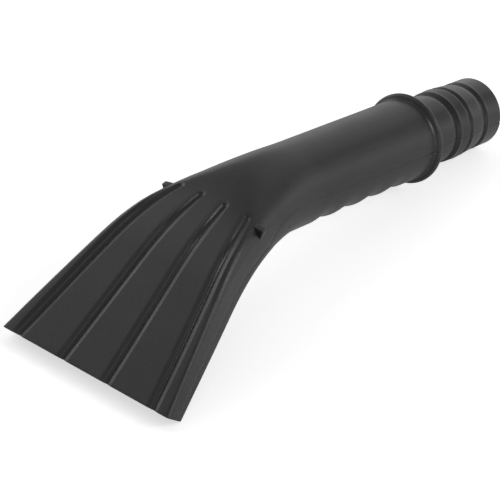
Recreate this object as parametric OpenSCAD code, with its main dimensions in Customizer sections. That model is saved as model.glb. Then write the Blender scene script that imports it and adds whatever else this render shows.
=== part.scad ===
// Claw nozzle for a utility vacuum: one hollow moulding, hose end, grip, neck and wide grooved mouth.
// It is drawn along its own grip axis first, x running from the collar to the mouth, and is then
// leaned over until the hose end and the lip stand on the floor together.

/* [Wall] */
// thickness of the moulded wall
wall = 2; // [1.4:0.1:2.6]

/* [Hose end] */
// radius of the end that the hose is pushed over
spigot_r = 19.25; // [18.6:0.05:20]
// length of the hose end behind the middle of the collar
spigot_len = 65.4; // [62:0.2:74]
// radius of the barb that grips the hose
barb_r = 20.5; // [20.1:0.1:21.4]
// distance of the barb's crest behind the collar
barb_at = 36.4; // [34:0.2:39]
// length of the step down behind the crest
barb_step = 1.2; // [0.8:0.1:2]
// distance of the first ring groove behind the collar
ring_1_at = 25.3; // [22:0.1:28]
// distance of the second ring groove behind the collar
ring_2_at = 53.2; // [50:0.1:56]
// depth of the ring grooves
ring_depth = 0.7; // [0.3:0.05:1]
// half the width of a ring groove
ring_half = 1.1; // [0.7:0.1:1.6]
// bevel of the rim, outside
rim_bevel = 0.5; // [0.2:0.1:0.9]

/* [Collar] */
// radius of the collar over its bead
collar_r = 24.8; // [24:0.1:26]
// radius of the bead itself
bead_r = 2.2; // [1.8:0.1:2.6]
// length of the solid ring under the bead, on the grip side
collar_lead = 3; // [2.4:0.1:5]

/* [Grip] */
// radius of the grip
grip_r = 22.5; // [21.8:0.1:23.2]
// length of the straight grip in front of the collar
grip_len = 96; // [92:1:110]
// number of finger waves under the grip
fingers = 4; // [3:1:4]
// spacing of the finger waves
finger_pitch = 20.9; // [19:0.1:21.5]
// distance of the first wave's hollow from the collar
finger_start = 27; // [24:0.5:30]
// depth of the hollows at the lowest line of the grip
finger_depth = 2.5; // [0.5:0.1:3.5]

/* [Neck and mouth, side view] */
// where the upper outline begins to turn down, from the collar
top_bend_at = 107; // [102:1:114]
// radius of the upper outline's turn
top_bend_r = 133; // [122:1:142]
// angle of the upper outline's turn
top_bend_angle = 43.1; // [40:0.1:46]
// length of the upper outline from the end of the grip to the lip
top_len = 177.5; // [172:0.5:186]
// where the lower outline begins to turn down, from the collar
low_bend_at = 152.8; // [148:0.2:158]
// radius of the lower outline's turn
low_bend_r = 60.8; // [50:0.2:72]
// angle of the lower outline's turn
low_bend_angle = 33.8; // [31:0.2:36]
// length of the lower outline from the end of the grip to the lip
low_len = 150.9; // [146:0.1:155]
// share of the mouth's height that lies below its side line
low_share = 0.65; // [0.55:0.01:0.68]

/* [Neck and mouth, plan and sections] */
// half the width of the mouth
mouth_half = 55.1; // [52:0.1:58]
// how slowly the width starts to grow, as a share of the length
flare_share = 0.35; // [0.25:0.01:0.6]
// share of the length over which the round section turns into a box
squaring_share = 0.6; // [0.5:0.01:0.75]
// corner radius that the box section starts from, larger than the grip so that it starts round
neck_corner_r = 45; // [36:0.5:50]
// corner radius of the box section at the lip
lip_corner_r = 2.3; // [2:0.1:4]
// how soon the corners turn tight, 1 for an even change
corner_law = 3.27; // [2:0.01:4]

/* [Grooves] */
// share of the length at which the grooves begin
groove_start_share = 0.388; // [0.37:0.002:0.42]
// depth of the grooves
groove_depth = 2.4; // [1:0.1:2.8]
// half the width of a groove at its edges
groove_half = 4.1; // [3.4:0.1:4.4]
// half the width of a groove's floor, as a share of that
floor_share = 0.15; // [0.1:0.05:0.6]
// length in which a groove reaches its depth
groove_run = 9; // [7:0.5:16]
// distance of the inner grooves from the middle where they begin
inner_start = 7.6; // [7:0.1:8.4]
// distance of the inner grooves from the middle at the lip
inner_end = 14.5; // [13:0.1:17]
// distance of the outer grooves from the middle where they begin
outer_start = 22.1; // [20.8:0.1:23]
// distance of the outer grooves from the middle at the lip
outer_end = 44.8; // [41:0.1:46]
// bowing of the grooves, 1 for a straight run
groove_bow = 0.82; // [0.7:0.02:1]

/* [Lugs] */
// share of the length at which the lugs stand
lug_at_share = 0.39; // [0.37:0.005:0.41]
// thickness of a lug along the nozzle
lug_w = 3; // [2:0.2:4]
// reach of a lug past the side of the nozzle
lug_reach = 2.4; // [2:0.1:4]
// height of a lug's shelf, as a share of the section's upper half
lug_shelf_share = 0.74; // [0.6:0.01:0.78]
// fall of the shelf to its outer corner
lug_fall = 0.4; // [0:0.1:1.4]
// height of a lug, from its shelf to its point
lug_h = 8.6; // [7.4:0.2:10]
// size of the soft corner at the shelf's outer end
lug_corner = 0.8; // [0.4:0.1:1.2]

/* [Output] */
// part to draw

/* [Hidden] */
facets = 48;
bore_r = spigot_r - wall;
bead_steps = 6;
bead_c = collar_r - bead_r;

// points of a half section: along the top, round the roll, down the side, round the low corner, below
grip_steps = 22;
fan_steps = 26;
top_pts = 12;
roll_pts = 5;
low_pts = 3;
floor_pts = 4;
half_pts = top_pts + roll_pts + 1 + low_pts + floor_pts;
ring_pts = 2 * half_pts;
top_span = 60;
roll_end = 82;
side_end = 98;
low_end = 124;
roll_share = 0.96;
roll_keep_share = 0.8;
low_roll_share = 0.9;
settle_from_share = 0.4;
wave_from = 92;
wave_fade_from = 0.5;
wave_fade_to = 0.15;

// smooth step from 0 to 1 as u goes from a to b
function ease(u, a, b) = let (t = min(1, max(0, (u - a) / (b - a)))) t * t * (3 - 2 * t);

// point at length u on an outline that starts level at the end of the grip and turns down once
function bent(u, z0, at, r, angle) = let (
  level = at - grip_len,
  turn = min(angle, max(0, (u - level) / r * 180 / PI)),
  past = max(0, u - level - r * angle * PI / 180)
) [
  grip_len + min(u, level) + r * sin(turn) + past * cos(turn),
  z0 - r * (1 - cos(turn)) - past * sin(turn)
];

function low_at(k) = bent(k * low_len, -grip_r, low_bend_at, low_bend_r, low_bend_angle);
function high_at(k) = bent(k * top_len, grip_r, top_bend_at, top_bend_r, top_bend_angle);

// outer half width, corner radius and squareness of the section at share k of the mouth's length
function half_w(k) = grip_r + (mouth_half - grip_r) * k * k * (1 + flare_share) / (k + flare_share);
function corner(k) = lip_corner_r + (neck_corner_r - lip_corner_r) * pow(1 - k, corner_law);
function squareness(k) = ease(k, 0, squaring_share);
function below(k) = 0.5 + (low_share - 0.5) * ease(k, 0, squaring_share);

// middle of a groove, and the depth it has reached
function groove_u(k) = pow(max(0, (k - groove_start_share) / (1 - groove_start_share)), groove_bow);
function inner_y(k) = inner_start + (inner_end - inner_start) * groove_u(k);
function outer_y(k) = outer_start + (outer_end - outer_start) * groove_u(k);
function depth(k) = groove_depth * ease(k, groove_start_share, groove_start_share + groove_run / top_len);

// hollow of the finger waves at x, in full at the lowest line
function wave(x) = let (
  n = (x - finger_start) / finger_pitch,
  fade_in = ease(n, -wave_fade_from, -wave_fade_to),
  fade_out = 1 - ease(n, fingers - 1 + wave_fade_to, fingers - 1 + wave_fade_from)
) finger_depth * (1 + cos(360 * n)) / 2 * fade_in * fade_out;

// the points along the top follow the grooves: their edges, their floors and the middle of each panel
function rails(k) = let (i = inner_y(k), o = outer_y(k), f = groove_half * floor_share) [
  0,
  i - groove_half,
  i - f,
  i,
  i + f,
  i + groove_half,
  (i + o) / 2,
  o - groove_half,
  o - f,
  o,
  o + f,
  o + groove_half
];
function rail_depth(j) = [0, 0, 1, 1, 1, 0, 0, 0, 1, 1, 1, 0][j];
function top_angle(j) = top_span * j / (top_pts - 1);

// height of a rounded box of half width w and height h at distance y from its middle
function box_z(y, w, h, r) = let (over = max(0, y - w + r)) h - r + sqrt(max(0, r * r - over * over));

// point j of the half section, as distance from the middle and height, w, a and b its half width and heights
function half_point(j, k, w, a, b, r, q, sunk, lift) = let (
  m = squareness(k),
  settle = ease(k, groove_start_share * settle_from_share, groove_start_share),
  rl = rails(k),
  last = (1 - settle) * w * sin(top_span) + settle * min(w, rl[top_pts - 1]),
  turn_0 = asin(min(1, last / w)),
  over_0 = asin(min(1, max(0, last - w + r) / r)),
  n1 = top_pts,
  n2 = n1 + roll_pts,
  n3 = n2 + 1,
  n4 = n3 + low_pts
) j < n1
  ? let (y = (1 - settle) * w * sin(top_angle(j)) + settle * min(w, rl[j]))
    [y, (1 - m) * a * sqrt(max(0, 1 - y * y / w / w)) + m * box_z(y, w, a, r) - sunk * rail_depth(j)]
  : j < n2
  ? let (
      u = (j - n1 + 1) / roll_pts,
      e = turn_0 + (roll_end - turn_0) * u,
      c = over_0 + (90 - over_0) * u
    )
    [(1 - m) * w * sin(e) + m * (w - r + r * sin(c)), (1 - m) * a * cos(e) + m * (a - r + r * cos(c))]
  : let (
      u = j < n4 ? (j - n2) / (low_pts + 1) : 1,
      v = j < n4 ? 0 : (j - n4) / floor_pts,
      e = side_end + (low_end - side_end) * u + (180 - low_end) * v,
      c = 90 * u,
      drop = lift * ease(e, wave_from, 180)
    )
    [
      (1 - m) * (w - drop) * sin(e) + m * (w - q + q * cos(c)) * (1 - v),
      (1 - m) * (b - drop) * cos(e) - m * (b - q + q * sin(c))
    ];

// half of the section that stands tall between the two outlines at share k, inset from the outer skin
function half_section(tall, x, k, inset) = let (
  w = half_w(k) - inset,
  b = below(k) * tall - inset,
  a = (1 - below(k)) * tall - inset,
  r = min(corner(k), roll_share * (a + inset), roll_share * (w + inset)) - inset * roll_keep_share,
  q = low_roll_share * min(b, r)
) [for (j = [0:half_pts]) half_point(j, k, w, a, b, r, q, depth(k), wave(x))];

// one closed ring of the skin, inset by the wall for the inner one
function ring(low, high, x, k, inset) = let (
  dx = high[0] - low[0],
  dz = high[1] - low[1],
  tall = sqrt(dx * dx + dz * dz),
  cx = low[0] + dx * below(k),
  cz = low[1] + dz * below(k),
  half = half_section(tall, x, k, inset)
) [
  for (j = [0:ring_pts - 1])
    let (p = j <= half_pts ? half[j] : half[ring_pts - j], side = j <= half_pts ? 1 : -1)
    [cx + p[1] * dx / tall, side * p[0], cz + p[1] * dz / tall]
];

function skin(inset) = [
  for (i = [0:grip_steps - 1])
    let (x = grip_len * i / grip_steps)
    each ring([x, -grip_r], [x, grip_r], x, 0, inset),
  for (i = [0:fan_steps])
    let (k = i / fan_steps)
    each ring(low_at(k), high_at(k), grip_len + k * low_len, k, inset)
];

rings = grip_steps + fan_steps + 1;
outer_skin = skin(0);
inner_skin = skin(wall);
half_count = rings * ring_pts;

// two triangles of the skin between ring i and the next, at point j, turned over for the inner skin
function patch(i, j, base, over) = let (
  n = (j + 1) % ring_pts,
  p = base + i * ring_pts + j,
  s = base + i * ring_pts + n,
  t = base + (i + 1) * ring_pts + n,
  u = base + (i + 1) * ring_pts + j
) over ? [[p, t, s], [p, u, t]] : [[p, s, t], [p, t, u]];

// two triangles between the outer and the inner skin at an end
function rim(i, j, over) = let (
  n = (j + 1) % ring_pts,
  p = i * ring_pts + j,
  s = i * ring_pts + n,
  t = half_count + i * ring_pts + n,
  u = half_count + i * ring_pts + j
) over ? [[p, t, s], [p, u, t]] : [[p, s, t], [p, t, u]];

shell_faces = [
  for (i = [0:rings - 2]) for (j = [0:ring_pts - 1]) each patch(i, j, 0, false),
  for (i = [0:rings - 2]) for (j = [0:ring_pts - 1]) each patch(i, j, half_count, true),
  for (j = [0:ring_pts - 1]) each rim(0, j, true),
  for (j = [0:ring_pts - 1]) each rim(rings - 1, j, false)
];

// at rest the lower edge of the lip and the lower side of the rim touch the floor
lip_low = low_at(1);
lip_high = high_at(1);
rim_x = -spigot_len + rim_bevel;
rest_lean = atan2(-spigot_r - lip_low[1], lip_low[0] - rim_x);
function leaned_x(x, z) = x * cos(rest_lean) - z * sin(rest_lean);
function leaned_z(x, z) = x * sin(rest_lean) + z * cos(rest_lean);
back_x = leaned_x(-spigot_len, spigot_r - rim_bevel);
front_x = leaned_x(lip_high[0], lip_high[1]);
floor_z = leaned_z(lip_low[0], lip_low[1]);

module shell() {
  polyhedron(points = concat(outer_skin, inner_skin), faces = shell_faces, convexity = 8);
}

// the hose end is turned: radius against the distance behind the collar
hose_profile = [
  [bore_r, -collar_lead],
  [bead_c, -collar_lead],
  for (i = [0:bead_steps]) [
    bead_c + bead_r * cos(-90 + 180 * i / bead_steps),
    bead_r * sin(-90 + 180 * i / bead_steps)
  ],
  [spigot_r, bead_r],
  [spigot_r, ring_1_at - ring_half],
  [spigot_r - ring_depth, ring_1_at],
  [spigot_r, ring_1_at + ring_half],
  [barb_r, barb_at],
  [spigot_r, barb_at + barb_step],
  [spigot_r, ring_2_at - ring_half],
  [spigot_r - ring_depth, ring_2_at],
  [spigot_r, ring_2_at + ring_half],
  [spigot_r, spigot_len - rim_bevel],
  [spigot_r - rim_bevel, spigot_len],
  [bore_r, spigot_len]
];

module hose_end() {
  rotate([0, -90, 0])
    rotate_extrude($fn = facets)
      polygon(hose_profile);
}

// the lugs: flat gussets on both shoulders, rooted halfway into the wall
lug_low = low_at(lug_at_share);
lug_high = high_at(lug_at_share);
lug_dx = lug_high[0] - lug_low[0];
lug_dz = lug_high[1] - lug_low[1];
lug_tall = sqrt(lug_dx * lug_dx + lug_dz * lug_dz);
lug_root = half_section(lug_tall, grip_len + lug_at_share * low_len, lug_at_share, wall / 2);
lug_top_z = lug_shelf_share * (1 - below(lug_at_share)) * lug_tall;
lug_out = half_w(lug_at_share) + lug_reach;
lug_outline = [
  for (p = lug_root) if (p[1] < lug_top_z && p[1] > lug_top_z - lug_h) p,
  [lug_out - lug_corner, lug_top_z - lug_fall - 2 * lug_corner],
  [lug_out, lug_top_z - lug_fall - lug_corner],
  [lug_out - lug_corner, lug_top_z - lug_fall]
];

module lug() {
  translate([lug_low[0] + lug_dx * below(lug_at_share), 0, lug_low[1] + lug_dz * below(lug_at_share)])
    rotate([0, atan2(lug_dx, lug_dz), 0])
      rotate([90, 0, 90])
        linear_extrude(height = lug_w, center = true)
          polygon(lug_outline);
}

module nozzle() {
  color([0.12, 0.12, 0.125])
    translate([-(back_x + front_x) / 2, 0, -floor_z])
      rotate([0, -rest_lean, 0])
        union() {
          shell();
          hose_end();
          lug();
          mirror([0, 1, 0]) lug();
        }
}

nozzle();
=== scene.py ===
# %% [markdown]
# # Claw nozzle for a utility vacuum
# The real object is one hollow moulding of black plastic: a hose end with a barb, a rounded collar,
# a round grip with finger waves, and a wide flat mouth with four grooves along its upper face.
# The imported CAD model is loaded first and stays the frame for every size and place. Its own mesh is
# a plain closed shell, so the pieces below are drawn again with the same formulas on finer grids.

# %% Load the frame
import math

import bpy
import numpy as np
from mathutils import Matrix


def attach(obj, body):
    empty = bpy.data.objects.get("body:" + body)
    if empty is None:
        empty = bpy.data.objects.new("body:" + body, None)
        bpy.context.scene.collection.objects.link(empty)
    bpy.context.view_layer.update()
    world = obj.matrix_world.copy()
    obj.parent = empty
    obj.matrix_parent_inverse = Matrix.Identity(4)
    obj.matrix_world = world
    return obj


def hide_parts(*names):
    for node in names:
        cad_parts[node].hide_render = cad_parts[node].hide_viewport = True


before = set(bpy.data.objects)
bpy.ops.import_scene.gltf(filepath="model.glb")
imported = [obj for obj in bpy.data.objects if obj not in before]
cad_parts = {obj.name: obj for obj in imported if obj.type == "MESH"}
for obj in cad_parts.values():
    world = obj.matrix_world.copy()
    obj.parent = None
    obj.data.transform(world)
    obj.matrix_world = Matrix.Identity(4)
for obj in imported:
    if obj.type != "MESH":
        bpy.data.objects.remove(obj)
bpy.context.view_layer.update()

# %% [markdown]
# ## The sizes of the moulding
# They are in millimetres, in the frame of the grip: x runs along the grip from the collar to the
# mouth and z points up. They are the sizes of the CAD part, apart from the collar, which is 0.4 mm
# larger here, and the left lug. One place for all sizes keeps every piece in step.

# %% Sizes
WALL = 2.0
SPIGOT_R, SPIGOT_LEN = 19.25, 65.4
BARB_R, RING_LOW = 20.5, 18.4
RIM_BEVEL = 0.5
COLLAR_R, BEAD_R, COLLAR_LEAD = 25.2, 2.2, 3.0
GRIP_R, GRIP_LEN = 22.5, 96.0
FINGERS, FINGER_PITCH, FINGER_START, FINGER_DEPTH = 4, 20.9, 27.0, 2.5
TOP_BEND_AT, TOP_BEND_R, TOP_BEND_ANGLE, TOP_LEN = 107.0, 133.0, math.radians(43.1), 177.5
LOW_BEND_AT, LOW_BEND_R, LOW_BEND_ANGLE, LOW_LEN = 152.8, 60.8, math.radians(33.8), 150.9
LOW_SHARE, MOUTH_HALF, FLARE_SHARE, SQUARING_SHARE = 0.65, 55.1, 0.35, 0.6
NECK_CORNER_R, LIP_CORNER_R, CORNER_LAW = 45.0, 2.3, 3.27
GROOVE_START, GROOVE_BOW = 0.388, 0.82
INNER_START, INNER_END, OUTER_START, OUTER_END = 7.6, 14.5, 22.1, 44.8
LUG_AT, LUG_W, LUG_SHELF, LUG_H = 0.39, 3.0, 0.74, 8.6
LUG_REACH, LUG_FALL = {1: 2.4, -1: 1.3}, {1: 0.4, -1: 1.2}
BORE_R = SPIGOT_R - WALL

# %% [markdown]
# ## The outlines of the neck and mouth
# Seen from the side, the neck runs between two outlines. Each is straight, then one arc, then
# straight again, so a point on it follows from the length walked along it. The mould maker draws the
# same two lines first and lets the sections stand between them, and so does this script.

# %% Outlines in side view
def ease(u, a, b):
    """Smooth step: 0 before a, 1 after b, and a cubic with level ends between them."""
    t = np.clip((u - a) / (b - a), 0, 1)
    return t * t * (3 - 2 * t)


def bent(u, z0, at, r, angle):
    """Point at length u: straight to the bend, then round an arc of radius r, then straight on."""
    level = at - GRIP_LEN
    turn = np.clip((u - level) / r, 0, angle)
    past = np.maximum(0, u - level - r * angle)
    x = GRIP_LEN + np.minimum(u, level) + r * np.sin(turn) + past * np.cos(turn)
    z = z0 - r * (1 - np.cos(turn)) - past * np.sin(turn)
    return np.stack([x, z], -1)


def low_at(k):
    """Point of the lower outline at share k of its length."""
    return bent(k * LOW_LEN, -GRIP_R, LOW_BEND_AT, LOW_BEND_R, LOW_BEND_ANGLE)


def high_at(k):
    """Point of the upper outline at share k of its length."""
    return bent(k * TOP_LEN, GRIP_R, TOP_BEND_AT, TOP_BEND_R, TOP_BEND_ANGLE)


# %% [markdown]
# ## How the nozzle rests
# On a table it lies as an arch, on the lower side of its rim and on the lower edge of its lip. The
# line through these two points gives the lean, so it follows the sizes and is never set by hand.

# %% The lean at rest
LIP_LOW, LIP_HIGH = low_at(np.array(1.0)), high_at(np.array(1.0))
RIM_X = RIM_BEVEL - SPIGOT_LEN
LEAN = math.atan2(-SPIGOT_R - LIP_LOW[1], LIP_LOW[0] - RIM_X)
COS, SIN = math.cos(LEAN), math.sin(LEAN)
BACK_X = -SPIGOT_LEN * COS - (SPIGOT_R - RIM_BEVEL) * SIN
FRONT_X = LIP_HIGH[0] * COS - LIP_HIGH[1] * SIN
FLOOR_Z = LIP_LOW[0] * SIN + LIP_LOW[1] * COS


def at_rest(p):
    """Turns points of the grip's frame by the lean, sets them on the floor, and goes to metres."""
    x = p[..., 0] * COS - p[..., 2] * SIN - (BACK_X + FRONT_X) / 2
    z = p[..., 0] * SIN + p[..., 2] * COS - FLOOR_Z
    return np.stack([x, p[..., 1], z], -1) / 1000


print("lean in degrees:", round(math.degrees(LEAN), 3))


# %% [markdown]
# ## The section
# At each place along the neck the section is a blend: an ellipse at the grip, a rounded box at the
# lip. The corners of the box start so large that they fill it, and turn tight early, which gives
# the soft crease on the neck that runs out into the side of the mouth.

# %% Widths and corners
def half_w(k):
    """Half the width: it opens as a square law at first and nearly straight towards the lip."""
    return GRIP_R + (MOUTH_HALF - GRIP_R) * k * k * (1 + FLARE_SHARE) / (k + FLARE_SHARE)


def corner(k):
    """Corner radius: from the neck's to the lip's by a power of the length still to go."""
    return LIP_CORNER_R + (NECK_CORNER_R - LIP_CORNER_R) * (1 - k) ** CORNER_LAW


def squareness(k):
    """0 where the section is an ellipse, 1 where it is a rounded box."""
    return ease(k, 0, SQUARING_SHARE)


def below(k):
    """Share of the height that lies below the side line."""
    return 0.5 + (LOW_SHARE - 0.5) * ease(k, 0, SQUARING_SHARE)


# %% [markdown]
# ## The grooves
# Four grooves fan out to the lip. The left wall of each falls over a soft shoulder to a narrow land
# and then steeply to the bottom line, and the right wall climbs from it in one even slope. The
# profile is set as a table of tilts, because the eye reads the tilt of a dark glossy surface and not
# its depth, and the depth is the running sum of the tilts. The upper end is a round tip: there the
# distance is taken from the end of the bottom line. In the photo at least three of the four fall on
# their left and climb on their right, so the left pair is a copy of the right one and not mirrored.

# %% Profile and run of the grooves
BOTTOM, WALL_REACH, WALL_STEPS = 0.25, 4.9, 541
STEEP_AT, STEEP_TILT = [0, 0.4, 1.0, 1.2, 1.6, 1.9, 3.6, 4.1, 4.5], [50, 47, 26, 0, 0, 11, 11, 6, 0]
NEAR_TIP_AT, NEAR_TIP_TILT = [0, 1.0, 1.25, 1.9, 2.1, 3.6, 4.1, 4.5], [15, 18, 49, 50, 4, 4, 6, 0]
EVEN_AT, EVEN_TILT = [0, 0.15, 2.9, 3.3, 3.6, WALL_REACH], [24, 24, 21, 10, 0, 0]
fine = np.linspace(0, WALL_REACH, WALL_STEPS)


def summed(places, tilts):
    """Depth by distance from the bottom line: the sum of the tilts' slopes from the edge inwards."""
    fall = np.tan(np.radians(np.interp(fine, places, tilts))) * fine[1]
    return fall[::-1].cumsum()[::-1] - fall[-1]


STEEP, EVEN = summed(STEEP_AT, STEEP_TILT), summed(EVEN_AT, EVEN_TILT)
NEAR_TIP = summed(NEAR_TIP_AT, NEAR_TIP_TILT)
NEAR_TIP, EVEN = NEAR_TIP * STEEP[0] / NEAR_TIP[0], EVEN * STEEP[0] / EVEN[0]
TIP_AT, TIP_DEPTH, TIP_RUN, TIP_NARROW = 0.392, 1.05, 0.06, 0.8
TIP_LEAD, WIDE_AT, STEEP_FROM, STEEP_TO = 0.02, 0.48, 0.43, 0.56
RIM_RAISE, RIM_RAISE_LIP, RIM_FROM, RIM_TO = {1: 0.1, -1: 0.7}, 0.5, 2.4, 3.6
RAISE_FULL, RAISE_FADES = 0.5, 0.9
OUTER_NEARER = {1: 0.15, -1: 0.6}


def groove_lines(k, side):
    """Distance of a side's two grooves from the middle: a power of the length past the start."""
    u = np.clip((k - GROOVE_START) / (1 - GROOVE_START), 0, None) ** GROOVE_BOW
    outer = OUTER_START + (OUTER_END - OUTER_START) * u - OUTER_NEARER[side]
    return INNER_START + (INNER_END - INNER_START) * u, outer


def spread(k):
    """Share of the full width that a groove has at k: it starts narrow at the tip."""
    return TIP_NARROW + (1 - TIP_NARROW) * ease(k, TIP_AT - TIP_LEAD, WIDE_AT)


def groove_depth(d, k):
    """Depth at distance d from a groove's line: its wall's profile, taken round the tip's end point."""
    past = np.maximum(0, TIP_AT - k) * TOP_LEN
    run_in = TIP_DEPTH + (1 - TIP_DEPTH) * ease(k, TIP_AT, TIP_AT + TIP_RUN)
    off = d / spread(k) - BOTTOM
    away = np.hypot(off, past / spread(k))
    to_right = 0.5 + 0.5 * off / np.maximum(away, 1e-6)
    full = ease(k, STEEP_FROM, STEEP_TO)
    left = full * np.interp(away, fine, STEEP) + (1 - full) * np.interp(away, fine, NEAR_TIP)
    return run_in * ((1 - to_right) * left + to_right * np.interp(away, fine, EVEN))


def rim_raise(k, side):
    """How far the outer strip of a side stands proud: fades in behind the tip and out towards the lip."""
    kept = 1 - (1 - RIM_RAISE_LIP) * ease(k, RAISE_FADES, 1)
    return RIM_RAISE[side] * kept * ease(k, TIP_AT, RAISE_FULL)


print("grooves are", round(float(STEEP[0]), 2), "mm deep")


# %% [markdown]
# ## The finger waves and the parting line
# The waves are a row of cosine dips along the underside. The parting line is where the two halves of
# the mould met: a fine dent that runs along both sides of the grip, bends down behind the lugs and
# follows the lower edge of the mouth. Its height is a short table, read off at each section.

# %% Waves and parting line
def wave(x):
    """Hollow of the finger waves at x along the grip: a row of cosine dips with faded ends."""
    n = (x - FINGER_START) / FINGER_PITCH
    fade = ease(n, -0.5, -0.15) * (1 - ease(n, FINGERS - 0.85, FINGERS - 0.5))
    return FINGER_DEPTH * (1 + np.cos(2 * np.pi * n)) / 2 * fade


SEAM_DEPTH, SEAM_HALF = 0.4, 0.36
SEAM_AT = np.array([0, 0.035, 0.10, 0.165, 0.225, 0.28, 0.32, 0.36, 0.42, 1])
SEAM_SHARE = np.array([0.04, 0.055, 0.085, 0.10, 0.08, 0.007, -0.165, -0.33, -0.44, -0.46])


def seam_height(k, b):
    """Height of the parting line above the side line, a share of the height below that line."""
    return np.interp(k, SEAM_AT, SEAM_SHARE) * b


# %% [markdown]
# ## Columns of the grid
# The grid's columns follow the features: dense across each groove and at the parting line, wide on
# the panels. So every edge is one clean line of points however the grooves spread.

# %% Columns
LEFT_WALL = [4.6, 4.3, 4.0, 3.7, 3.1, 2.5, 2.1, 1.9, 1.75, 1.6, 1.4, 1.2, 1.1, 1.0, 0.8, 0.6, 0.4, 0.2, 0.05]
RIGHT_WALL = [0.07, 0.2, 0.5, 1.0, 1.6, 2.2, 2.6, 2.8, 2.95, 3.1, 3.25, 3.4, 3.55, 3.75, 4.0]
RAIL_OFF = BOTTOM + np.concatenate([-np.array(LEFT_WALL), [0], RIGHT_WALL])
TOP_SPAN, ROLL_END, SIDE_END, LOW_END = np.radians([60.0, 80.0, 99.0, 124.0])
MIDDLE_LINES, GAP_LINES, ROLL_LINES, LOW_LINES, FLOOR_LINES = 6, 8, 19, 13, 17
U_ROLL, U_LOW = np.linspace(0, 1, ROLL_LINES), np.linspace(0, 1, LOW_LINES)
V_FLOOR = np.linspace(0, 1, FLOOR_LINES)[1:]


def rails(k, side):
    """Distance from the middle of every column along the top of one side."""
    i, o = groove_lines(k, side)
    off = np.sort(side * RAIL_OFF) * spread(k)[:, None]
    inner, outer = i[:, None] + off, o[:, None] + off
    first = inner[:, :1] * np.linspace(0, 1, MIDDLE_LINES)[:-1]
    gap = inner[:, -1:] + (outer[:, :1] - inner[:, -1:]) * np.linspace(0, 1, GAP_LINES)[1:-1]
    return np.concatenate([first, inner, gap, outer], 1)


def box_z(y, w, h, r):
    """Height of a rounded box of half width w and height h at distance y from its middle."""
    over = np.maximum(0, y - w + r)
    return h - r + np.sqrt(np.maximum(0, r * r - over * over))


def side_shares(z0, z1, seam):
    """Shares of the side strip, from height z0 down to z1: five lines at the parting line, four others."""
    s, d = np.clip((z0 - seam) / (z0 - z1), 0.12, 0.88), SEAM_HALF / (z0 - z1)
    near = s + d * np.array([-1, -0.5, 0, 0.5, 1])
    before, after = near[:, :1] * np.array([0.35, 0.75]), 1 - (1 - near[:, -1:]) * np.array([0.7, 0.35])
    return np.concatenate([before, near, after], 1)


# %% Half of a section
def half_section(side, k, w, a, b, r, q, lift, dent):
    """One side of each section from top middle to bottom middle, as distance and height columns.

    Every stretch blends an ellipse with a rounded box by the squareness m. The half width is w, the
    height above the side line a and below it b, the corner radii are r above and q below, and lift
    and dent are the hollows of the finger waves and of the parting line.
    """
    k, w, a, b, r, q, lift, dent = (v[:, None] for v in (k, w, a, b, r, q, lift, dent))
    m = squareness(k)
    settle = ease(k, GROOVE_START * 0.4, GROOVE_START)
    line = np.minimum(w, rails(k[:, 0], side))
    fan_out = np.linspace(0, 1, line.shape[1])
    y = (1 - settle) * w * np.sin(TOP_SPAN * fan_out) + settle * line
    i, o = groove_lines(k, side)
    proud = rim_raise(k, side)
    top = (1 - m) * a * np.sqrt(np.clip(1 - (y / w) ** 2, 0, None)) + m * box_z(y, w, a, r)
    top = top - groove_depth(side * (y - i), k) - groove_depth(side * (y - o), k)
    top = top + proud * ease(y - o, RIM_FROM, RIM_TO)
    last = y[:, -1:]
    e = np.arcsin(np.clip(last / w, -1, 1))
    c = np.arcsin(np.clip((last - w + r) / r, 0, 1))
    e, c = e + (ROLL_END - e) * U_ROLL, c + (math.pi / 2 - c) * U_ROLL
    roll_y = (1 - m) * w * np.sin(e) + m * (w - r + r * np.sin(c))
    roll_z = (1 - m) * a * np.cos(e) + m * (a - r + r * np.cos(c)) + proud * np.cos(math.pi / 2 * U_ROLL)
    z0, z1 = (1 - m) * a * math.cos(ROLL_END) + m * (a - r), (1 - m) * b * math.cos(SIDE_END) - m * (b - q)
    s = side_shares(z0, z1, seam_height(k, b))
    e = ROLL_END + (SIDE_END - ROLL_END) * s
    high = np.where(e < math.pi / 2, a, b)
    side_y = (1 - m) * w * np.sin(e) + m * w - dent * np.array([0, 0, 0, 0.6, 1, 0.6, 0, 0, 0])
    side_z = (1 - m) * high * np.cos(e) + m * ((a - r) * (1 - s) - (b - q) * s)
    u = np.concatenate([U_LOW, np.ones_like(V_FLOOR)])
    v = np.concatenate([np.zeros_like(U_LOW), V_FLOOR])
    e = SIDE_END + (LOW_END - SIDE_END) * u + (math.pi - LOW_END) * v
    c = math.pi / 2 * u
    drop = lift * ease(e, math.radians(92), math.pi)
    low_y = (1 - m) * (w - drop) * np.sin(e) + m * (w - q + q * np.cos(c)) * (1 - v)
    low_z = (1 - m) * (b - drop) * np.cos(e) - m * (b - q + q * np.sin(c))
    return (np.concatenate([y, roll_y[:, 1:], side_y, low_y], 1),
            np.concatenate([top, roll_z[:, 1:], side_z, low_z], 1))


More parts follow.
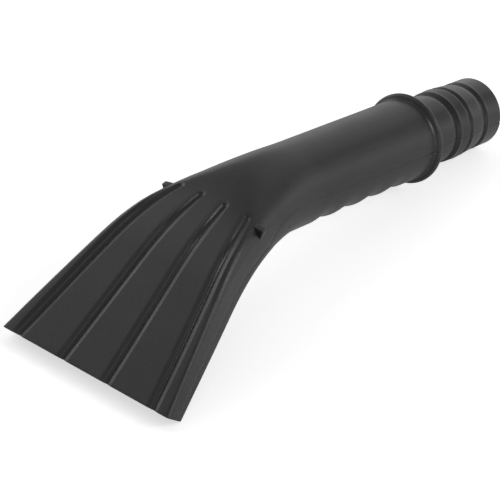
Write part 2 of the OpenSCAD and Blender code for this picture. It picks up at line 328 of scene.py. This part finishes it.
# %% Rings of the skin
def rings(x, k, inset, dent):
    """Closed rings of the skin at x on the grip or share k of the neck, inset from the outer surface."""
    on_grip = x[:, None] < GRIP_LEN
    low = np.where(on_grip, np.stack([x, np.full_like(x, -GRIP_R)], -1), low_at(k))
    high = np.where(on_grip, np.stack([x, np.full_like(x, GRIP_R)], -1), high_at(k))
    across = high - low
    tall = np.linalg.norm(across, axis=1)
    w, b, a = half_w(k) - inset, below(k) * tall - inset, (1 - below(k)) * tall - inset
    r = np.minimum(np.minimum(corner(k), 0.96 * (a + inset)), 0.96 * (w + inset)) - inset * 0.8
    q = 0.9 * np.minimum(b, r)
    along = np.where(x < GRIP_LEN, x, GRIP_LEN + k * LOW_LEN)
    y, z = half_section(1, k, w, a, b, r, q, wave(along), dent)
    left_y, left_z = half_section(-1, k, w, a, b, r, q, wave(along), dent)
    y, z = np.concatenate([y, -left_y[:, -2:0:-1]], 1), np.concatenate([z, left_z[:, -2:0:-1]], 1)
    mid = low + across * below(k)[:, None]
    up = across / tall[:, None]
    return np.stack([mid[:, :1] + z * up[:, :1], y, mid[:, 1:] + z * up[:, 1:]], -1)


# %% [markdown]
# ## The shell
# Outer skin, lip and inner skin are one surface: the rows run along the outside to the lip, round
# its softened edge and back along the inside. Rows and columns both close on themselves, so the
# piece is a watertight wall of even thickness, as a moulding is.

# %% Grid to mesh
def grid_piece(name, points, **marks):
    """Makes a piece of a grid of points that closes on itself both ways; marks are values per point."""
    rows, cols = points.shape[:2]
    i, j = np.meshgrid(np.arange(rows), np.arange(cols), indexing="ij")
    n, m = (i + 1) % rows, (j + 1) % cols
    faces = np.stack([i * cols + j, i * cols + m, n * cols + m, n * cols + j], -1).reshape(-1, 4)
    flat = points.reshape(-1, 3)
    a, b, c, d = (flat[faces[:, t]] for t in range(4))
    volume = (np.einsum("ij,ij->i", a, np.cross(b, c)) + np.einsum("ij,ij->i", a, np.cross(c, d))).sum() / 6
    if volume < 0:
        faces = faces[:, ::-1]
    mesh = bpy.data.meshes.new(name)
    mesh.from_pydata(flat.tolist(), [], faces.tolist())
    mesh.polygons.foreach_set("use_smooth", np.ones(len(faces), bool))
    for mark, values in marks.items():
        layer = mesh.attributes.new(mark, "FLOAT", "POINT")
        layer.data.foreach_set("value", np.broadcast_to(values, (rows, cols)).astype(np.float32).ravel())
    mesh.update()
    piece = bpy.data.objects.new(name, mesh)
    bpy.context.scene.collection.objects.link(piece)
    print(name, len(faces) * 2, "triangles,", round(abs(volume) * 1e6, 2), "cm3")
    return piece


# %% Shell
# The outer skin stands a hair inside the CAD's surface, so that its finer curves stay in the CAD's box.
LIP_SOFT, HAIR = 0.55, 0.035
RUB, RUB_NEAR, RUB_WIDE, RUB_FROM, RUB_TO, LIP_WEAR = 0.6, 1.3, 3, 0.42, 0.55, 1.2
turn = np.linspace(0, math.pi / 2, 5)
end_k = 1 - LIP_SOFT / TOP_LEN
out_x = np.linspace(0, GRIP_LEN, 66)[:-1]
# From share to share of the neck, and the rows there: they stand closest at the tips of the grooves.
stretches = [(0, 0.365, 44), (0.365, 0.41, 30), (0.41, 0.5, 24), (0.5, end_k, 60)]
out_k = np.concatenate([[0]] + [np.linspace(a, b, rows)[1:] for a, b, rows in stretches])[:-1]
edge_k = 1 - LIP_SOFT / TOP_LEN * (1 - np.sin(turn))
edge_in = LIP_SOFT * (1 - np.cos(turn))
in_k, in_x = np.linspace(end_k, 0, 44)[1:], np.linspace(GRIP_LEN, 0, 12)[1:]
row_x = np.concatenate([out_x, np.full(len(out_k) + 2 * len(turn) + len(in_k), GRIP_LEN), in_x])
row_k = np.concatenate([out_x * 0, out_k, edge_k, edge_k[::-1], in_k, in_x * 0])
row_inset = np.concatenate([out_x * 0 + HAIR, out_k * 0 + HAIR, HAIR + edge_in, WALL - edge_in[::-1],
                            np.full(len(in_k) + len(in_x), WALL)])
row_dent = np.where(row_inset == HAIR, SEAM_DEPTH, 0)
skin_points = at_rest(rings(row_x, row_k, row_inset, row_dent))
from_edge = half_w(row_k)[:, None] - np.abs(skin_points[..., 1]) * 1000
rubbed_edge = RUB * np.clip(RUB_NEAR - from_edge / RUB_WIDE, 0, 1) * ease(row_k, RUB_FROM, RUB_TO)[:, None]
worn = np.maximum(np.exp(-(1 - row_k) * TOP_LEN / LIP_WEAR)[:, None], rubbed_edge)
shell = grid_piece("nozzle_shell", skin_points, worn=worn)


# %% [markdown]
# ## The hose end and the collar
# On the real part they are turned shapes, so a profile is carried round the axis. Its corners are
# rounded by short curves. The parting line goes on along both sides as the same fine dent: there the
# radius shrinks by a hair, and the columns stand closer to draw it.

# %% Turned profile
def soften(corners, radii, steps=4):
    """Replaces each corner of an open profile by points of a parabola that touches both sides."""
    out = [corners[0]]
    for p, c, n, r in zip(corners[:-2], corners[1:-1], corners[2:], radii[1:-1]):
        p, c, n = map(np.array, (p, c, n))
        back, on = p - c, n - c
        cut = min(r, np.linalg.norm(back) * 0.48, np.linalg.norm(on) * 0.48)
        s, t = c + back / np.linalg.norm(back) * cut, c + on / np.linalg.norm(on) * cut
        u = np.linspace(0, 1, steps)[:, None]
        out += list((1 - u) ** 2 * s + 2 * u * (1 - u) * c + u * u * t)
    return np.array(out + [corners[-1]])


def hold(profile, near=0.15):
    """Adds a point near both ends of each long side, so that the shading stays flat between corners."""
    out = [profile[0]]
    for p, n in zip(profile[:-1], profile[1:]):
        span = np.linalg.norm(n - p)
        if span > 4 * near:
            out += [p + (n - p) * near / span, (p + n) / 2, n + (p - n) * near / span]
        out.append(n)
    return np.array(out)


# Each corner is a distance behind the collar, a radius and a softness. The collar comes first. Then
# three flanks fall away from it, and a small ridge stands behind each: first ring, barb, second ring.
collar = [(-COLLAR_LEAD, BORE_R, 0), (-COLLAR_LEAD - 1, GRIP_R - 1, 0.3),
          (-COLLAR_LEAD - 1.1, GRIP_R + 0.04, 0.8), (-BEAD_R - 0.1, GRIP_R + 0.6, 0.2)]
bead = [(-BEAD_R * math.cos(a), COLLAR_R - BEAD_R + BEAD_R * math.sin(a), 0.3)
        for a in np.linspace(0.5, math.pi, 12)]
ring_1 = [(BEAD_R, SPIGOT_R, 0.5), (20.6, SPIGOT_R, 1.6), (23.7, RING_LOW, 0.4),
          (24.4, RING_LOW - 0.3, 0.2), (25.9, BARB_R - 0.4, 0.3), (27.3, BARB_R - 0.55, 0.5)]
barb = [(33.7, BARB_R - 0.1, 1.0), (35.4, BARB_R - 1.4, 0.3), (36.1, BARB_R - 1.6, 0.2),
        (37.7, BARB_R - 0.4, 0.3), (39.1, BARB_R - 0.6, 0.5), (44.0, SPIGOT_R + 0.3, 3)]
ring_2 = [(47.8, SPIGOT_R, 1.4), (50.7, RING_LOW, 0.4), (51.4, RING_LOW - 0.3, 0.2),
          (52.8, SPIGOT_R + 0.14, 0.3), (54.2, SPIGOT_R, 0.5)]
bore = [(SPIGOT_LEN, SPIGOT_R, 0.5), (SPIGOT_LEN, BORE_R, 0.3), (-COLLAR_LEAD + 0.01, BORE_R, 0)]
line = np.array(collar + bead + ring_1 + barb + ring_2 + bore)
profile = hold(soften(line[:, 1::-1], line[:, 2]))
print("hose end profile:", len(line), "corners,", len(profile), "points")


def turned(name, profile, columns=144):
    """Carries a profile of (radius, distance behind the collar) round the grip's axis, with the dent."""
    plain = np.linspace(0, 2 * math.pi, columns, endpoint=False)
    seam = math.radians(2.5)
    close = np.array([-1, -0.5, 0, 0.5, 1]) * SEAM_HALF / SPIGOT_R
    angle = np.sort(np.concatenate([plain + seam / 7, seam + close, math.pi - seam + close]))
    off = np.minimum(np.abs(angle - seam), np.abs(angle - math.pi + seam)) / (SEAM_HALF / SPIGOT_R)
    r, at = profile[:, :1], profile[:, 1:]
    outside = ease(r, BORE_R + 0.2, BORE_R + 0.8)
    r = r - SEAM_DEPTH * outside * np.clip(1.2 - 1.2 * off, 0, 1)
    p = np.stack([-at + 0 * angle, r * np.cos(angle), r * np.sin(angle)], -1)
    return grid_piece(name, at_rest(p), worn=np.clip((profile[:, :1] - COLLAR_R + 1.2) / 1.2, 0, 0.6))


hose_end = turned("hose_end", profile)


# %% [markdown]
# ## The two lugs
# Small flat gussets stand on both shoulders. Each is a plate: its outline is carried across the
# thickness while it shrinks a little near both faces, which gives the soft edges of a moulding.

# %% Lugs
LUG_ROOT, LUG_SOFT, CLOSED = 4.5, 0.45, 1e3


def lug(name, side):
    """Outline of the plate by thickness, rooted in the wall; the faces close in one point each."""
    k = np.array(LUG_AT)
    low, high = low_at(k), high_at(k)
    across = high - low
    tall = np.linalg.norm(across)
    up, on = across / tall, np.array([across[1], -across[0]]) / tall
    mid = low + across * below(k)
    top = LUG_SHELF * (1 - below(k)) * tall
    out, inside = half_w(k) + LUG_REACH[side], half_w(k) - LUG_ROOT
    fall = LUG_FALL[side]
    middle = np.array([(out + inside) / 2, top - LUG_H / 3])
    line = soften([(inside, top - 3), (inside, top), (out, top - fall), (out - 0.6, top - fall - 2),
                   (inside + 3.8, top - LUG_H), (inside, top - LUG_H), (inside, top - 3.01)],
                  [0, 0.3, 1.2, 1.2, 0.6, 0.3, 0], 6)[:-1]
    t = np.linspace(0, math.pi / 2, 5)
    half, edge, turned_in = LUG_W / 2, LUG_SOFT * (1 - np.cos(t)), LUG_SOFT * (1 - np.sin(t))
    inset = np.concatenate([[CLOSED], turned_in, turned_in[::-1], [CLOSED]])
    height = np.concatenate([[-half], -half + edge, half - edge[::-1], [half]])
    shrink = np.maximum(0.001, 1 - inset[:, None] / np.linalg.norm(line - middle, axis=1))
    flat = middle + (line - middle) * shrink[..., None]
    p = np.stack([mid[0] + flat[..., 1] * up[0] + height[:, None] * on[0], side * flat[..., 0],
                  mid[1] + flat[..., 1] * up[1] + height[:, None] * on[1]], -1)
    return grid_piece(name, at_rest(p), worn=0.5 + 0 * height[:, None])


lugs = [lug("lug_right", 1), lug("lug_left", -1)]

# %% [markdown]
# ## The finish
# The moulding is black plastic with a satin skin. Its grey is nearly all reflection of the pale
# room, so the colour is very dark and the fine grain sits in the roughness and in a shallow bump.

# %% Grain group
def new_group(name, inputs, outputs):
    """An empty shader node group with its sockets: name and default value of each."""
    group = bpy.data.node_groups.new(name, "ShaderNodeTree")
    for label, value in inputs:
        kind = "NodeSocketVector" if value is None else "NodeSocketFloat"
        socket = group.interface.new_socket(label, in_out="INPUT", socket_type=kind)
        if value is not None:
            socket.default_value = value
    for label in outputs:
        group.interface.new_socket(label, in_out="OUTPUT", socket_type="NodeSocketFloat")
    return group, group.nodes.new("NodeGroupInput"), group.nodes.new("NodeGroupOutput")


def moulded_grain():
    """Fine grain of the mould with a slow cloud: height of the grain, and a roughness between two values."""
    group, given, put = new_group("moulded_grain", [("Vector", None), ("Scale", 1300.0), ("Smooth", 0.36),
                                                    ("Rough", 0.5)], ["Height", "Roughness"])
    nodes, links = group.nodes, group.links
    grain, cloud = nodes.new("ShaderNodeTexNoise"), nodes.new("ShaderNodeTexNoise")
    grain.inputs["Detail"].default_value = 2.5
    cloud.inputs["Scale"].default_value = 45
    cloud.inputs["Detail"].default_value = 3
    links.new(given.outputs["Vector"], grain.inputs["Vector"])
    links.new(given.outputs["Vector"], cloud.inputs["Vector"])
    links.new(given.outputs["Scale"], grain.inputs["Scale"])
    both = nodes.new("ShaderNodeMix")
    both.inputs["Factor"].default_value = 0.45
    links.new(grain.outputs["Fac"], both.inputs["A"])
    links.new(cloud.outputs["Fac"], both.inputs["B"])
    span = nodes.new("ShaderNodeMapRange")
    span.inputs["From Min"].default_value = 0.3
    span.inputs["From Max"].default_value = 0.7
    links.new(both.outputs["Result"], span.inputs["Value"])
    links.new(given.outputs["Smooth"], span.inputs["To Min"])
    links.new(given.outputs["Rough"], span.inputs["To Max"])
    links.new(span.outputs["Result"], put.inputs["Roughness"])
    links.new(grain.outputs["Fac"], put.inputs["Height"])
    return group


grain_group = moulded_grain()


# %% Handling marks group
def handling_marks():
    """Mask of fine streaks along the part (stretched noise over a limit), joined with the worn edges."""
    sockets = [("Vector", None), ("Worn", 0.0), ("Amount", 0.5)]
    group, given, put = new_group("handling_marks", sockets, ["Mask"])
    nodes, links = group.nodes, group.links
    stretch, streak, patch = (nodes.new("ShaderNode" + n) for n in ("Mapping", "TexNoise", "TexNoise"))
    stretch.inputs["Scale"].default_value = (9, 1100, 300)
    stretch.inputs["Rotation"].default_value = (0, 0, math.radians(7))
    streak.inputs["Scale"].default_value = 1
    streak.inputs["Detail"].default_value = 2
    patch.inputs["Scale"].default_value = 30
    links.new(given.outputs["Vector"], stretch.inputs["Vector"])
    links.new(stretch.outputs["Vector"], streak.inputs["Vector"])
    links.new(given.outputs["Vector"], patch.inputs["Vector"])
    limit = nodes.new("ShaderNodeMapRange")
    limit.inputs["From Min"].default_value = 0.58
    limit.inputs["From Max"].default_value = 0.78
    links.new(streak.outputs["Fac"], limit.inputs["Value"])
    links.new(given.outputs["Amount"], limit.inputs["To Max"])
    both, edge, joined = (nodes.new("ShaderNodeMath") for _ in range(3))
    both.operation, edge.operation, joined.operation = "MULTIPLY", "MULTIPLY", "MAXIMUM"
    uneven = nodes.new("ShaderNodeMapRange")
    uneven.inputs["From Min"].default_value = 0.15
    uneven.inputs["From Max"].default_value = 0.4
    uneven.inputs["To Min"].default_value = 0.1
    links.new(patch.outputs["Fac"], both.inputs[0])
    links.new(streak.outputs["Fac"], both.inputs[1])
    links.new(both.outputs["Value"], uneven.inputs["Value"])
    links.new(given.outputs["Worn"], edge.inputs[0])
    links.new(uneven.outputs["Result"], edge.inputs[1])
    links.new(edge.outputs["Value"], joined.inputs[0])
    links.new(limit.outputs["Result"], joined.inputs[1])
    links.new(joined.outputs["Value"], put.inputs["Mask"])
    return group


marks_group = handling_marks()


# %% [markdown]
# ## One plastic, two finishes
# The grip and mouth have a fine grain. The hose end is a little smoother, as a surface is that a hose
# slides over. Both finishes share the grain and the handling marks, each with its own values.

# %% Materials
def satin_black(name, smooth, rough, grain_depth, marks):
    """Dark base colour with grain in bump and roughness, and paler and rougher where it is rubbed."""
    mat = bpy.data.materials.new(name)
    mat.use_nodes = True
    nodes, links = mat.node_tree.nodes, mat.node_tree.links
    shader = nodes["Principled BSDF"]
    shader.inputs["IOR"].default_value = 1.5
    place, worn = nodes.new("ShaderNodeTexCoord"), nodes.new("ShaderNodeAttribute")
    worn.attribute_name = "worn"
    grain, rubbed = nodes.new("ShaderNodeGroup"), nodes.new("ShaderNodeGroup")
    grain.node_tree, rubbed.node_tree = grain_group, marks_group
    grain.inputs["Smooth"].default_value = smooth
    grain.inputs["Rough"].default_value = rough
    rubbed.inputs["Amount"].default_value = marks
    links.new(place.outputs["Object"], grain.inputs["Vector"])
    links.new(place.outputs["Object"], rubbed.inputs["Vector"])
    links.new(worn.outputs["Fac"], rubbed.inputs["Worn"])
    tone = nodes.new("ShaderNodeMix")
    tone.data_type = "RGBA"
    tone.inputs["A"].default_value = (0.0205, 0.0203, 0.0200, 1)
    tone.inputs["B"].default_value = (0.06, 0.0595, 0.0585, 1)
    links.new(rubbed.outputs["Mask"], tone.inputs["Factor"])
    links.new(tone.outputs["Result"], shader.inputs["Base Color"])
    rougher = nodes.new("ShaderNodeMath")
    rougher.operation = "MULTIPLY_ADD"
    rougher.inputs[1].default_value = 0.25
    links.new(rubbed.outputs["Mask"], rougher.inputs[0])
    links.new(grain.outputs["Roughness"], rougher.inputs[2])
    links.new(rougher.outputs["Value"], shader.inputs["Roughness"])
    bump = nodes.new("ShaderNodeBump")
    bump.inputs["Distance"].default_value = grain_depth
    bump.inputs["Strength"].default_value = 0.5
    links.new(grain.outputs["Height"], bump.inputs["Height"])
    links.new(bump.outputs["Normal"], shader.inputs["Normal"])
    return mat


skin = satin_black("satin_black_skin", 0.3, 0.44, 0.00014, 0.22)
smoother = satin_black("satin_black_hose_end", 0.27, 0.4, 0.00007, 0.12)
for piece, finish in [(shell, skin), (hose_end, smoother), (lugs[0], skin), (lugs[1], skin)]:
    piece.data.materials.append(finish)
    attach(piece, "root")
    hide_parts("nozzle")

# %% [markdown]
# ## Floor, light and camera
# The photo is a plain studio picture: white all round, brighter behind the object than in front.

# %% Floor
floor_mesh = bpy.data.meshes.new("floor")
floor_mesh.from_pydata([(-6, -6, 0), (6, -6, 0), (6, 6, 0), (-6, 6, 0)], [], [(0, 1, 2, 3)])
floor = bpy.data.objects.new("floor", floor_mesh)
bpy.context.scene.collection.objects.link(floor)
pale = bpy.data.materials.new("pale_floor")
pale.use_nodes = True
pale_shader = pale.node_tree.nodes["Principled BSDF"]
pale_shader.inputs["Base Color"].default_value = (0.86, 0.86, 0.86, 1)
pale_shader.inputs["Roughness"].default_value = 0.9
pale_shader.inputs["Specular IOR Level"].default_value = 0.1
pale_shader.inputs["Emission Color"].default_value = (1, 1, 1, 1)
ray, glow = pale.node_tree.nodes.new("ShaderNodeLightPath"), pale.node_tree.nodes.new("ShaderNodeMapRange")
glow.inputs["To Min"].default_value = 0.1
glow.inputs["To Max"].default_value = 0.6
pale.node_tree.links.new(ray.outputs["Is Camera Ray"], glow.inputs["Value"])
pale.node_tree.links.new(glow.outputs["Result"], pale_shader.inputs["Emission Strength"])
floor_mesh.materials.append(pale)

# %% Room
scene = bpy.context.scene
scene.view_settings.view_transform = "Standard"
world = bpy.data.worlds.new("room")
scene.world = world
world.use_nodes = True
wn, wl = world.node_tree.nodes, world.node_tree.links
sky_dir, split = wn.new("ShaderNodeTexCoord"), wn.new("ShaderNodeSeparateXYZ")
wl.new(sky_dir.outputs["Generated"], split.inputs["Vector"])
band = wn.new("ShaderNodeMapRange")
band.interpolation_type = "SMOOTHSTEP"
band.inputs["From Min"].default_value = 0.05
band.inputs["From Max"].default_value = 0.42
band.inputs["To Min"].default_value = 1.22
band.inputs["To Max"].default_value = 0.28
wl.new(split.outputs["Z"], band.inputs["Value"])
wl.new(band.outputs["Result"], wn["Background"].inputs["Strength"])
wn["Background"].inputs["Color"].default_value = (1, 1, 1, 1)


# %% Lights
AIM_Z = 0.03


def soft_light(name, azimuth, height, reach, spread, radiance):
    """A round lamp at a direction from the object, as wide as spread, and as bright as radiance says."""
    az, el = math.radians(azimuth), math.radians(height)
    back = np.array([math.sin(az) * math.cos(el), -math.cos(az) * math.cos(el), math.sin(el)])
    place = back * reach + np.array([0, 0, AIM_Z])
    lamp = bpy.data.lights.new(name, "AREA")
    lamp.shape = "DISK"
    lamp.size = 2 * reach * math.tan(math.radians(spread))
    lamp.energy = radiance * math.pi * math.pi * lamp.size ** 2 / 4
    obj = bpy.data.objects.new(name, lamp)
    bpy.context.scene.collection.objects.link(obj)
    right = np.cross((0, 0, 1), back)
    right /= np.linalg.norm(right)
    up = np.cross(back, right)
    obj.matrix_world = Matrix([[right[i], up[i], back[i], place[i]] for i in range(3)] + [[0, 0, 0, 1]])
    print(name, "watts:", round(lamp.energy, 1))


soft_light("left_light", azimuth=8, height=50, reach=2.2, spread=22, radiance=0.75)
soft_light("low_left_light", azimuth=358, height=20, reach=2.4, spread=16, radiance=1.2)
soft_light("back_light", azimuth=285, height=34, reach=2.6, spread=22, radiance=0.4)
soft_light("right_light", azimuth=202, height=36, reach=2.2, spread=12, radiance=5.2)

# %% Camera
cam_data = bpy.data.cameras.new("camera")
cam = bpy.data.objects.new("camera", cam_data)
scene.collection.objects.link(cam)
cam_data.sensor_width = 36
cam_data.lens = 164.889
right = (-0.648655571, 0.760467966, 0.030568336)
up = (-0.401825437, -0.376301883, 0.834825258)
back = (0.646360788, 0.529230919, 0.549665686)
eye = (0.79350868, 0.61966301, 0.66176746)
cam.matrix_world = Matrix([[right[i], up[i], back[i], eye[i]] for i in range(3)] + [[0, 0, 0, 1]])
scene.camera = cam
